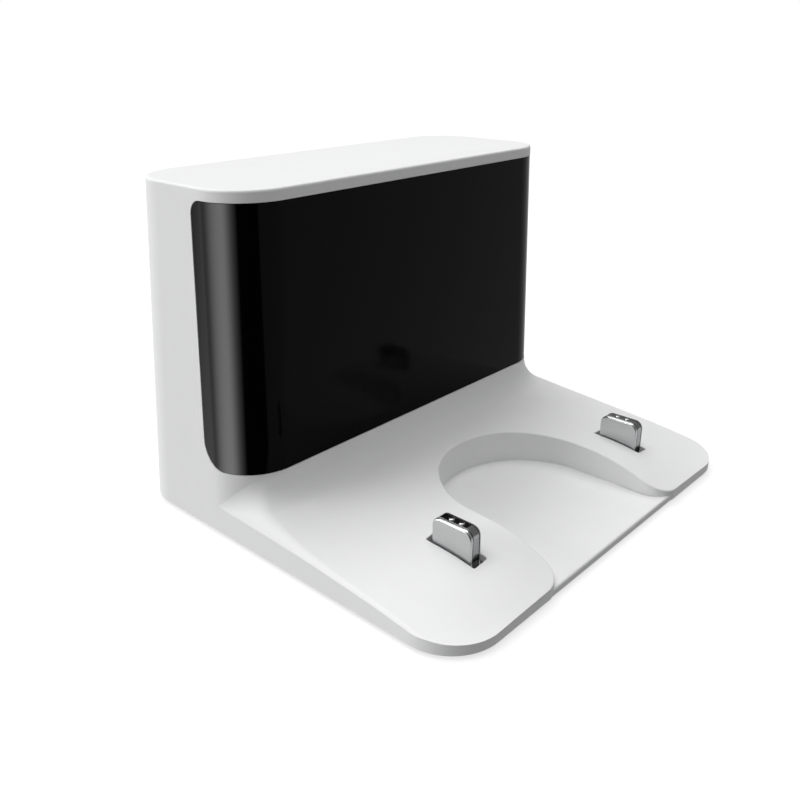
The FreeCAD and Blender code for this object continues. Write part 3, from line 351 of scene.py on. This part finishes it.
BRASS = Finish("stamped_brass", (0.72, 0.52, 0.22), roughness=0.3, mottle=0.06,
               gloss_change=0.08, metallic=1.0, grain=Grain.ALONG_Y)
SLEEVE = Finish("soft_lead_sleeve", (0.02, 0.02, 0.021), roughness=0.55, mottle=0.1, gloss_change=0.06)
SOLDER_MASK = Finish("green_solder_mask", (0.02, 0.13, 0.05), roughness=0.35, mottle=0.15, gloss_change=0.08)
BLACK_MOULDING = Finish("black_moulding", (0.018, 0.018, 0.019), roughness=0.48, mottle=0.1,
                        gloss_change=0.07)
FERRITE = Finish("ferrite_and_tape", (0.05, 0.05, 0.052), roughness=0.6, mottle=0.2, gloss_change=0.1)
FUSE_GLASS = Finish("fuse_tube", (0.6, 0.62, 0.6), roughness=0.12, mottle=0.05, gloss_change=0.04, coat=0.5)
TINTED_LENS = Finish("tinted_lens", (0.03, 0.015, 0.028), roughness=0.08, mottle=0.05,
                     gloss_change=0.03, coat=0.4)
ZINC = Finish("zinc_plate", (0.52, 0.53, 0.55), roughness=0.34, mottle=0.08, gloss_change=0.08, metallic=1.0)
FOOT_RUBBER = Finish("soft_foot_rubber", (0.03, 0.03, 0.031), roughness=0.75, mottle=0.12,
                     gloss_change=0.08, grain_scale=3500.0)
FLOOR_PAINT = Finish("pale_floor", (0.4, 0.4, 0.4), roughness=0.7, mottle=0.002,
                     gloss_change=0.05, specular=0.0, glow=0.66, grain_scale=300.0)
FLAG_CLOTH = Finish("black_flag", (0.0, 0.0, 0.0), roughness=1.0, mottle=0.0, gloss_change=0.0, specular=0.0)


def dress(names: Iterable[str], finish: Finish) -> None:
    """Give CAD nodes a finish.

    Args:
        names: the nodes.
        finish: what each of them gets.
    """
    for name in names:
        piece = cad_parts[name]
        piece.data.materials.clear()
        piece.data.materials.append(finish.material())
        LOG.info("%s: %s", name, finish.name)


def new_piece(name: str, mesh: bpy.types.Mesh, finish: Finish) -> bpy.types.Object:
    """Put a mesh into the scene as a smooth piece.

    Args:
        name: the piece's name.
        mesh: its mesh.
        finish: its finish.

    Returns:
        The piece.
    """
    mesh.materials.append(finish.material())
    mesh.shade_smooth()
    piece = bpy.data.objects.new(name, mesh)
    bpy.context.scene.collection.objects.link(piece)
    LOG.info("%s: %s", name, finish.name)
    return piece


def round_edges(piece: bpy.types.Object, width: float, steps: int) -> None:
    """Round a piece's sharp edges.

    Args:
        piece: the piece.
        width: how far the rounding reaches from the edge.
        steps: faces across it.
    """
    rounding = piece.modifiers.new("edges", "BEVEL")
    rounding.width = width
    rounding.segments = steps
    rounding.limit_method = "ANGLE"
    rounding.angle_limit = SHARP_EDGE
    rounding.harden_normals = True


def apply_modifiers(piece: bpy.types.Object) -> None:
    """Turn a piece's modifiers into its mesh.

    Args:
        piece: the piece.
    """
    graph = bpy.context.evaluated_depsgraph_get()
    mesh = bpy.data.meshes.new_from_object(piece.evaluated_get(graph), depsgraph=graph)
    piece.modifiers.clear()
    piece.data = mesh


def settle(form: bmesh.types.BMesh, name: str) -> bpy.types.Mesh:
    """Turn a form into a mesh and let go of the form.

    Args:
        form: the form.
        name: the mesh's name.

    Returns:
        The mesh.
    """
    mesh = bpy.data.meshes.new(name)
    form.to_mesh(mesh)
    form.free()
    return mesh


def lathe(name: str, profile: list[tuple[float, float]], turns: int) -> bpy.types.Mesh:
    """Closed body of revolution about Z.

    Args:
        name: the mesh's name.
        profile: radius and height from the bottom of the axis to its top.
        turns: steps round the axis.

    Returns:
        The mesh.
    """
    form = bmesh.new()
    rings = []
    for radius, height in profile:
        if radius < ON_AXIS:
            rings.append([form.verts.new((0.0, 0.0, height))])
            continue
        ring = []
        for i in range(turns):
            angle = FULL_TURN * i / turns
            ring.append(form.verts.new((radius * math.cos(angle), radius * math.sin(angle), height)))
        rings.append(ring)
    for below, above in zip(rings, rings[1:]):
        for i in range(turns):
            j = (i + 1) % turns
            corners = [below[i % len(below)], below[j % len(below)]]
            corners += [above[j % len(above)], above[i % len(above)]]
            form.faces.new(list(dict.fromkeys(corners)))
    bmesh.ops.recalc_face_normals(form, faces=form.faces)
    return settle(form, name)


def islands(mesh: bpy.types.Mesh) -> list[list[Vector]]:
    """Points of each separate solid in a mesh.

    Args:
        mesh: the mesh to look through.

    Returns:
        One list of points for each solid.
    """
    form = bmesh.new()
    form.from_mesh(mesh)
    bmesh.ops.remove_doubles(form, verts=form.verts, dist=SAME_PLACE)
    left = dict.fromkeys(form.verts)
    found = []
    while left:
        todo = [left.popitem()[0]]
        group = []
        while todo:
            corner = todo.pop()
            group.append(corner.co.copy())
            for edge in corner.link_edges:
                other = edge.other_vert(corner)
                if other in left:
                    del left[other]
                    todo.append(other)
        found.append(group)
    form.free()
    return found


@dataclass
class ScrewSet:
    """The screws of one group: pan heads with a cross recess on ringed shanks."""

    node: str
    piece: str
    out: Point
    head_radius: float = 2.58 * MM
    head_height: float = 1.0 * MM
    head_edge: float = 0.45 * MM
    head_corner: float = 0.12 * MM
    shank_radius: float = 1.39 * MM
    root_radius: float = 1.12 * MM
    pitch: float = 0.9 * MM
    ring_share: float = 0.35
    recess_bars: int = 2
    recess_length: float = 2.9 * MM
    recess_width: float = 0.72 * MM
    recess_depth: float = 0.7 * MM
    recess_taper: float = 0.75
    dome_steps: int = 8
    turns: int = 40
    crease: float = math.radians(40.0)

    def build(self) -> None:
        """Put a screw in place of each one of the group and dress them."""
        turn = Vector(self.out).to_track_quat("Z", "Y").to_matrix().to_4x4()
        seats = [self.seat(island, turn) for island in islands(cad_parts[self.node].data)]
        template = self.template(seats[0][1])
        form = bmesh.new()
        for place, _ in seats:
            copy = template.copy()
            copy.transform(place)
            form.from_mesh(copy)
            bpy.data.meshes.remove(copy)
        mesh = settle(form, self.piece)
        piece = new_piece(self.piece, mesh, ZINC)
        mesh.set_sharp_from_angle(angle=self.crease)
        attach(piece, "dock")
        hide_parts(self.node)

    @staticmethod
    def seat(island: list[Vector], turn: Matrix) -> tuple[Matrix, float]:
        """Where one screw stands.

        Args:
            island: the points of the CAD screw.
            turn: rotation whose Z axis points out of the head.

        Returns:
            The placement of the shank's tip, and the screw's length.
        """
        local = [turn.inverted() @ point for point in island]
        low = Vector([min(point[i] for point in local) for i in range(3)])
        high = Vector([max(point[i] for point in local) for i in range(3)])
        tip = Vector(((low.x + high.x) / 2, (low.y + high.y) / 2, low.z))
        return turn @ Matrix.Translation(tip), high.z - low.z

    def profile(self, length: float) -> list[tuple[float, float]]:
        """Outline that is turned into a screw, from the tip to the top of the head.

        Args:
            length: from the tip to the top of the head.

        Returns:
            Radius and height of each point.
        """
        under = length - self.head_height
        flank = self.pitch * self.ring_share
        points = [(0.0, 0.0), (self.root_radius, 0.0)]
        for ring in range(int(under / self.pitch)):
            middle = (ring + MIDWAY) * self.pitch
            points.append((self.root_radius, middle - flank))
            points.append((self.shank_radius, middle))
            points.append((self.root_radius, middle + flank))
        points.append((self.root_radius, under))
        points.append((self.head_radius - self.head_corner, under))
        points.append((self.head_radius, under + self.head_corner))
        points.append((self.head_radius, length - self.head_edge))
        for step in range(1, self.dome_steps + 1):
            turn = QUARTER_TURN * step / self.dome_steps
            points.append((self.head_radius * math.cos(turn), length - self.head_edge * (1 - math.sin(turn))))
        return points

    def template(self, length: float) -> bpy.types.Mesh:
        """One screw standing on its tip, its recess cut.

        Args:
            length: from the tip to the top of the head.

        Returns:
            The mesh.
        """
        blank = bpy.data.objects.new("screw_blank", lathe("screw_blank", self.profile(length), self.turns))
        bpy.context.scene.collection.objects.link(blank)
        cutters = []
        for bar in range(self.recess_bars):
            cutter = bpy.data.objects.new("screw_cutter", self.cutter(length))
            cutter.rotation_euler.z = QUARTER_TURN * bar
            bpy.context.scene.collection.objects.link(cutter)
            cut = blank.modifiers.new("recess", "BOOLEAN")
            cut.operation = "DIFFERENCE"
            cut.solver = "EXACT"
            cut.object = cutter
            cutters.append(cutter)
        bpy.context.view_layer.update()
        apply_modifiers(blank)
        mesh = blank.data
        for spent in (blank, *cutters):
            bpy.data.objects.remove(spent)
        return mesh

    def cutter(self, length: float) -> bpy.types.Mesh:
        """One bar of the cross, narrower at its bottom.

        Args:
            length: height of the head's top, which the bar is centred on.

        Returns:
            The mesh.
        """
        form = bmesh.new()
        made = bmesh.ops.create_cube(form, size=1.0)
        for corner in made["verts"]:
            share = 1.0 if corner.co.z > 0 else self.recess_taper
            corner.co.x *= self.recess_length * share
            corner.co.y *= self.recess_width * share
            corner.co.z = length + (self.recess_depth if corner.co.z > 0 else -self.recess_depth)
        return settle(form, "screw_cutter")


@dataclass
class Shell:
    """White moulded housing, the plate that closes it from below and its feet."""

    down: Point = (0.0, 0.0, -1.0)
    feet: tuple[str, ...] = tuple(f"foot_{end}_{side}" for end in ENDS for side in SIDES)

    def dress(self) -> None:
        """Satin white outside, soft rubber below."""
        dress(("housing",), WHITE_SHELL)
        dress(("base_plate",), BASE_WHITE)
        ScrewSet("base_screws", SCREW_PIECES[0], self.down).build()
        dress(self.feet, FOOT_RUBBER)


@dataclass
class BeaconWindow:
    """Dark window that wraps the tower's front and corners, and the homing beacon behind it."""

    half_width: float = 70.9 * MM
    base_level: float = 1.0 * MM
    side_slope: float = 0.048
    nose: float = 9.4 * MM
    corner: float = 14.9 * MM
    end: float = 27.9 * MM
    low: float = 20.7 * MM
    high: float = 94.5 * MM
    low_round: float = 8.0 * MM
    high_round: float = 3.6 * MM
    thickness: float = 1.4 * MM
    edge_round: float = 0.22 * MM
    edge_steps: int = 3
    front_columns: int = 24
    corner_columns: int = 44
    side_columns: int = 14
    rows: int = 36

    def dress(self) -> None:
        """Polished dark plastic over the beacon's board."""
        self.panel()
        dress(("emitter_shield",), BLACK_MOULDING)
        dress(("emitter_board",), SOLDER_MASK)
        dress(("emitter_leds",), TINTED_LENS)
        dress(("emitter_screws",), ZINC)
        dress(("emitter_lead",), SLEEVE)

    def half_plan(self) -> list[tuple[float, float]]:
        """Plan of the right half, from the middle of the front to the back edge.

        Returns:
            Each point's inset from the side face and its place along Y.
        """
        middle = self.half_width - self.side_slope * ((self.low + self.high) / 2 - self.base_level)
        flat = middle - self.corner
        plan = []
        for i in range(self.front_columns):
            plan.append((self.corner + flat * (1 - i / self.front_columns), self.nose))
        for i in range(self.corner_columns):
            turn = QUARTER_TURN * i / self.corner_columns
            plan.append((self.corner * (1 - math.sin(turn)), self.nose + self.corner * (1 - math.cos(turn))))
        start = self.nose + self.corner
        for i in range(self.side_columns + 1):
            plan.append((0.0, start + (self.end - start) * math.sin(QUARTER_TURN * i / self.side_columns)))
        return plan

    def corner_cut(self, y: float, radius: float) -> float:
        """How much a rounded back corner takes off at a place along Y."""
        inside = max(0.0, y - (self.end - radius))
        return radius - math.sqrt(max(0.0, radius * radius - inside * inside))

    def column(self, inset: float, y: float, side: int) -> list[Point]:
        """Points up one line of the window's outer face.

        Args:
            inset: distance in from the side face.
            y: place along Y.
            side: 1 on the right, -1 on the left.

        Returns:
            The points from the bottom up.
        """
        low = self.low + self.corner_cut(y, self.low_round)
        high = self.high - self.corner_cut(y, self.high_round)
        points = []
        for i in range(self.rows + 1):
            z = low + (high - low) * i / self.rows
            x = max(0.0, self.half_width - self.side_slope * (z - self.base_level) - inset)
            points.append((side * x, y, z))
        return points

    def panel(self) -> None:
        """Build the polished panel as one even skin, so that it mirrors cleanly."""
        half = self.half_plan()
        columns = [self.column(inset, y, -1) for inset, y in reversed(half[1:])]
        columns.append([(0.0, y, z) for _, y, z in self.column(*half[0], 1)])
        columns += [self.column(inset, y, 1) for inset, y in half[1:]]
        mesh = bpy.data.meshes.new(WINDOW_PIECE)
        tall = self.rows + 1
        faces = [(c * tall + r, (c + 1) * tall + r, (c + 1) * tall + r + 1, c * tall + r + 1)
                 for c in range(len(columns) - 1) for r in range(self.rows)]
        mesh.from_pydata([point for column in columns for point in column], [], faces)
        piece = new_piece(WINDOW_PIECE, mesh, SMOKED_GLOSS)
        skin = piece.modifiers.new("skin", "SOLIDIFY")
        skin.thickness = self.thickness
        skin.offset = INWARD
        skin.use_even_offset = True
        round_edges(piece, self.edge_round, self.edge_steps)
        apply_modifiers(piece)
        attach(piece, "dock")
        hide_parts("ir_window")


@dataclass
class ChargingContact:
    """One sprung post with its strip, spring, terminal and lead."""

    side: str
    wire_radius: float = 0.2 * MM
    coil_turns: int = 3
    steps_per_turn: int = 48
    wire_sides: int = 12

    def dress(self) -> None:
        """Satin metal post, polished strip, drawn wire and brass."""
        dress((f"contact_post_{self.side}",), POST_METAL)
        dress((f"contact_strip_{self.side}",), POLISHED)
        self.spring()
        dress((f"spring_terminal_{self.side}",), BRASS)
        dress((f"contact_lead_{self.side}",), SLEEVE)

    def spring(self) -> None:
        """Wind the coil under the post."""
        node = f"contact_spring_{self.side}"
        low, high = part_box(node)
        foot = Vector(((low.x + high.x) / 2, (low.y + high.y) / 2, low.z))
        height = high.z - low.z
        mesh = self.coil(foot, (high.x - low.x) / 2, height)
        piece = new_piece(f"spring_coil_{self.side}", mesh, SPRING_WIRE)
        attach(piece, "dock")
        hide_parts(node)
        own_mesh(piece)

    def coil(self, foot: Vector, radius: float, height: float) -> bpy.types.Mesh:
        """Round wire wound about an upright axis.

        Args:
            foot: where the axis meets the terminal.
            radius: outside radius of the coil.
            height: from the underside of the first turn to the top of the last.

        Returns:
            The mesh, closed at both ends.
        """
        form = bmesh.new()
        steps = self.coil_turns * self.steps_per_turn
        rings = []
        for step in range(steps + 1):
            turn = Matrix.Rotation(FULL_TURN * step / self.steps_per_turn, 3, "Z")
            rise = self.wire_radius + (height - 2 * self.wire_radius) * step / steps
            ring = []
            for corner in range(self.wire_sides):
                angle = FULL_TURN * corner / self.wire_sides
                out = radius - self.wire_radius * (1 - math.cos(angle))
                up = rise + self.wire_radius * math.sin(angle)
                ring.append(form.verts.new(foot + turn @ Vector((out, 0.0, up))))
            rings.append(ring)
        for ring, following in zip(rings, rings[1:]):
            for i in range(self.wire_sides):
                j = (i + 1) % self.wire_sides
                form.faces.new((ring[i], ring[j], following[j], following[i]))
        form.faces.new(rings[0])
        form.faces.new(rings[-1])
        bmesh.ops.recalc_face_normals(form, faces=form.faces)
        return settle(form, "spring_coil")


@dataclass
class RearCover:
    """Back panel with its cable bay."""

    back_slope: float = 0.061

    def dress(self) -> None:
        """Fine textured white with plated screws."""
        dress(("rear_cover",), COVER_WHITE)
        lean = math.atan(self.back_slope)
        ScrewSet("cover_screws", SCREW_PIECES[1], (0.0, math.cos(lean), math.sin(lean))).build()


@dataclass
class PowerSupply:
    """Mains board and what stands on it."""

    moulded: tuple[str, ...] = ("inlet_socket", "bulk_capacitor", "output_capacitor")
    wound: tuple[str, ...] = ("transformer", "line_choke")

    def dress(self) -> None:
        """Bought-in parts in their usual finishes."""
        dress(("power_board",), SOLDER_MASK)
        dress(self.moulded, BLACK_MOULDING)
        dress(self.wound, FERRITE)
        dress(("line_fuse",), FUSE_GLASS)
        dress(("inlet_pins",), BRASS)
        dress(("board_screws",), ZINC)


def facing(place: Point, aim: Point) -> Matrix:
    """Placement at a point, its -Z axis towards another point.

    Args:
        place: where the thing stands.
        aim: what it faces.

    Returns:
        The placement.
    """
    way = Vector(aim) - Vector(place)
    return Matrix.Translation(place) @ way.to_track_quat("-Z", "Y").to_matrix().to_4x4()


def stage_sheet(name: str, width: float, height: float, finish: Finish) -> bpy.types.Object:
    """Flat sheet that belongs to the studio.

    Args:
        name: the sheet's name.
        width: its size along X.
        height: its size along Y.
        finish: its finish.

    Returns:
        The sheet's object.
    """
    mesh = bpy.data.meshes.new(name)
    x, y = width / 2, height / 2
    mesh.from_pydata([(-x, -y, 0), (x, -y, 0), (x, y, 0), (-x, y, 0)], [], [(0, 1, 2, 3)])
    mesh.materials.append(finish.material())
    sheet = bpy.data.objects.new(name, mesh)
    bpy.context.scene.collection.objects.link(sheet)
    return sheet


class Rays(Enum):
    """Which rays find a light: those that leave matt surfaces, or those that leave mirrors."""

    MATT = (True, False)
    MIRROR = (False, True)


def hang(lamp: bpy.types.Object, rays: Rays, only_on: tuple[str, ...]) -> None:
    """Put a light into the scene, out of the camera's sight.

    Args:
        lamp: the light's object.
        rays: which rays find it.
        only_on: the pieces that it lights, or none for all of them.
    """
    lamp.visible_camera = False
    lamp.visible_diffuse, lamp.visible_glossy = rays.value
    bpy.context.scene.collection.objects.link(lamp)
    if only_on:
        group = bpy.data.collections.new(f"{lamp.name}_reach")
        for name in only_on:
            group.objects.link(bpy.data.objects[name])
        lamp.light_linking.receiver_collection = group


@dataclass(frozen=True)
class Softbox:
    """Lit card that a few glossy pieces mirror, brighter in one part of its width than in others."""

    name: str
    place: Point
    aim: Point
    width: float
    height: float
    power: float
    falloff: tuple[tuple[float, float], ...]
    only_on: tuple[str, ...]

    def build(self) -> None:
        """Hang the light."""
        light = bpy.data.lights.new(self.name, "AREA")
        light.shape = "RECTANGLE"
        light.size, light.size_y = self.width, self.height
        light.energy = self.power
        lamp = bpy.data.objects.new(self.name, light)
        lamp.matrix_world = facing(self.place, self.aim)
        hang(lamp, Rays.MIRROR, self.only_on)
        self.shade(light)

    def shade(self, light: bpy.types.Light) -> None:
        """Vary the light's brightness across its width, by shares of its power.

        Args:
            light: the light.
        """
        light.use_nodes = True
        tree = light.node_tree
        place = tree.nodes.new("ShaderNodeNewGeometry")
        parts = tree.nodes.new("ShaderNodeSeparateXYZ")
        ramp = tree.nodes.new("ShaderNodeValToRGB")
        ramp.color_ramp.interpolation = "CARDINAL"
        stops = ramp.color_ramp.elements
        while len(stops) < len(self.falloff):
            stops.new(MIDWAY)
        for stop, (across, share) in zip(stops, self.falloff):
            stop.position = across
            stop.color = (share, share, share, OPAQUE)
        tree.links.new(place.outputs["Parametric"], parts.inputs["Vector"])
        tree.links.new(parts.outputs["X"], ramp.inputs["Fac"])
        tree.links.new(ramp.outputs["Color"], tree.nodes["Emission"].inputs["Strength"])


@dataclass(frozen=True)
class Skylight:
    """Wide far light without fall-off, so that everything is lit evenly."""

    name: str
    way: Point
    strength: float
    spread: float
    rays: Rays
    only_on: tuple[str, ...] = ()

    def build(self) -> None:
        """Hang the light."""
        light = bpy.data.lights.new(self.name, "SUN")
        light.energy = self.strength
        light.angle = math.radians(self.spread)
        lamp = bpy.data.objects.new(self.name, light)
        lamp.matrix_world = facing(self.way, (0.0, 0.0, 0.0))
        hang(lamp, self.rays, self.only_on)


@dataclass(frozen=True)
class Flag:
    """Black cloth that glossy surfaces mirror and nothing else sees."""

    name: str
    place: Point
    aim: Point
    width: float
    height: float

    def build(self) -> None:
        """Stand the cloth up."""
        cloth = stage_sheet(self.name, self.width, self.height, FLAG_CLOTH)
        cloth.matrix_world = facing(self.place, self.aim)
        cloth.visible_camera = False
        cloth.visible_diffuse = False
        cloth.visible_shadow = False


OVERHEAD: Point = (0.05, 0.32, 0.94)
LEFT_SIDE: Point = (-0.75, 0.64, 0.13)
CARD_FALLOFF = ((0.0, 0.07), (0.25, 0.2), (0.54, 1.0), (0.7, 0.38), (0.87, 0.0))


@dataclass(frozen=True)
class Studio:
    """Pale floor, soft lights and the camera."""

    azimuth: float = -47.422
    elevation: float = 23.492
    roll: float = -0.213
    distance: float = 279.94 * MM
    target: Point = (-0.045 * MM, 17.473 * MM, 21.178 * MM)
    lens: float = 38.012
    sensor: float = 36.0
    near_clip: float = 10.0 * MM
    floor_size: float = 80.0
    air_tone: float = 0.26
    ground_tone: float = 0.85
    horizon: float = 0.03
    paper_tone: float = 1.0
    lights: tuple[Softbox | Skylight | Flag, ...] = (
        Skylight("overhead_light", OVERHEAD, strength=2.55, spread=68.0, rays=Rays.MATT),
        Skylight("overhead_gleam", OVERHEAD, strength=2.65, spread=68.0, rays=Rays.MIRROR,
                 only_on=METAL_PIECES),
        Skylight("side_light", LEFT_SIDE, strength=2.15, spread=40.0, rays=Rays.MATT),
        Skylight("side_gleam", LEFT_SIDE, strength=2.05, spread=40.0, rays=Rays.MIRROR,
                 only_on=METAL_PIECES),
        Softbox("left_card", place=(-0.3126, 0.048, -0.1), aim=(-0.065, 0.013, -0.1), width=0.56, height=0.8,
                power=48.0, falloff=CARD_FALLOFF, only_on=(WINDOW_PIECE,)),
        Flag("front_flag", place=(-0.327, -0.21, -0.1), aim=(-0.055, 0.01, 0.05), width=0.53, height=0.8),
    )

    def build(self) -> None:
        """Set up the floor, the lights and the camera."""
        floor = stage_sheet("floor", self.floor_size, self.floor_size, FLOOR_PAINT)
        floor.visible_glossy = False
        floor.visible_diffuse = False
        for light in self.lights:
            light.build()
        self.surroundings()
        self.camera()

    def surroundings(self) -> None:
        """Dim air, a bright ground for mirrors, white paper behind, and plain colour reproduction."""
        world = bpy.data.worlds.new("studio")
        bpy.context.scene.world = world
        world.use_nodes = True
        tree = world.node_tree
        path = tree.nodes.new("ShaderNodeLightPath")
        place = tree.nodes.new("ShaderNodeTexCoord")
        parts = tree.nodes.new("ShaderNodeSeparateXYZ")
        tree.links.new(place.outputs["Generated"], parts.inputs["Vector"])
        ground = tree.nodes.new("ShaderNodeMapRange")
        tree.links.new(parts.outputs["Z"], ground.inputs["Value"])
        for socket, value in (("From Min", -self.horizon), ("From Max", self.horizon),
                              ("To Min", self.ground_tone), ("To Max", self.air_tone)):
            ground.inputs[socket].default_value = value
        mirrored = self.choice(tree, path.outputs["Is Glossy Ray"], ground.outputs["Result"], self.air_tone)
        seen = self.choice(tree, path.outputs["Is Camera Ray"], self.paper_tone, mirrored)
        tree.links.new(seen, tree.nodes["Background"].inputs["Strength"])
        tree.nodes["Background"].inputs["Color"].default_value = (*WHITE, OPAQUE)
        bpy.context.scene.view_settings.view_transform = "Standard"

    @staticmethod
    def choice(tree: bpy.types.NodeTree, test: Socket, held: Socket | float, other: Socket | float) -> Socket:
        """Pick one of two values by a test.

        Args:
            tree: the world's node tree.
            test: 1 where the test holds.
            held: what is taken there.
            other: what is taken elsewhere.

        Returns:
            The picked value.
        """
        node = tree.nodes.new("ShaderNodeMix")
        tree.links.new(test, node.inputs["Factor"])
        for socket, source in (("A", other), ("B", held)):
            if isinstance(source, Socket):
                tree.links.new(source, node.inputs[socket])
            else:
                node.inputs[socket].default_value = source
        return node.outputs["Result"]

    def camera(self) -> None:
        """Camera at the photograph's angle."""
        data = bpy.data.cameras.new("camera")
        data.lens = self.lens
        data.sensor_width = self.sensor
        data.clip_start = self.near_clip
        camera = bpy.data.objects.new("camera", data)
        turn = (Matrix.Rotation(math.radians(self.azimuth), 4, "Z")
                @ Matrix.Rotation(QUARTER_TURN - math.radians(self.elevation), 4, "X")
                @ Matrix.Rotation(math.radians(self.roll), 4, "Z"))
        stand_off = Matrix.Translation((0, 0, self.distance))
        camera.matrix_world = Matrix.Translation(Vector(self.target)) @ turn @ stand_off
        bpy.context.scene.collection.objects.link(camera)
        bpy.context.scene.camera = camera


def main() -> None:
    """Dress the dock and set up the studio."""
    logging.basicConfig(level=logging.INFO, format="%(name)s: %(message)s")
    contacts = [ChargingContact(side) for side in SIDES]
    for assembly in (Shell(), BeaconWindow(), *contacts, RearCover(), PowerSupply()):
        assembly.dress()
    Studio().build()


if __name__ == "__main__":
    main()
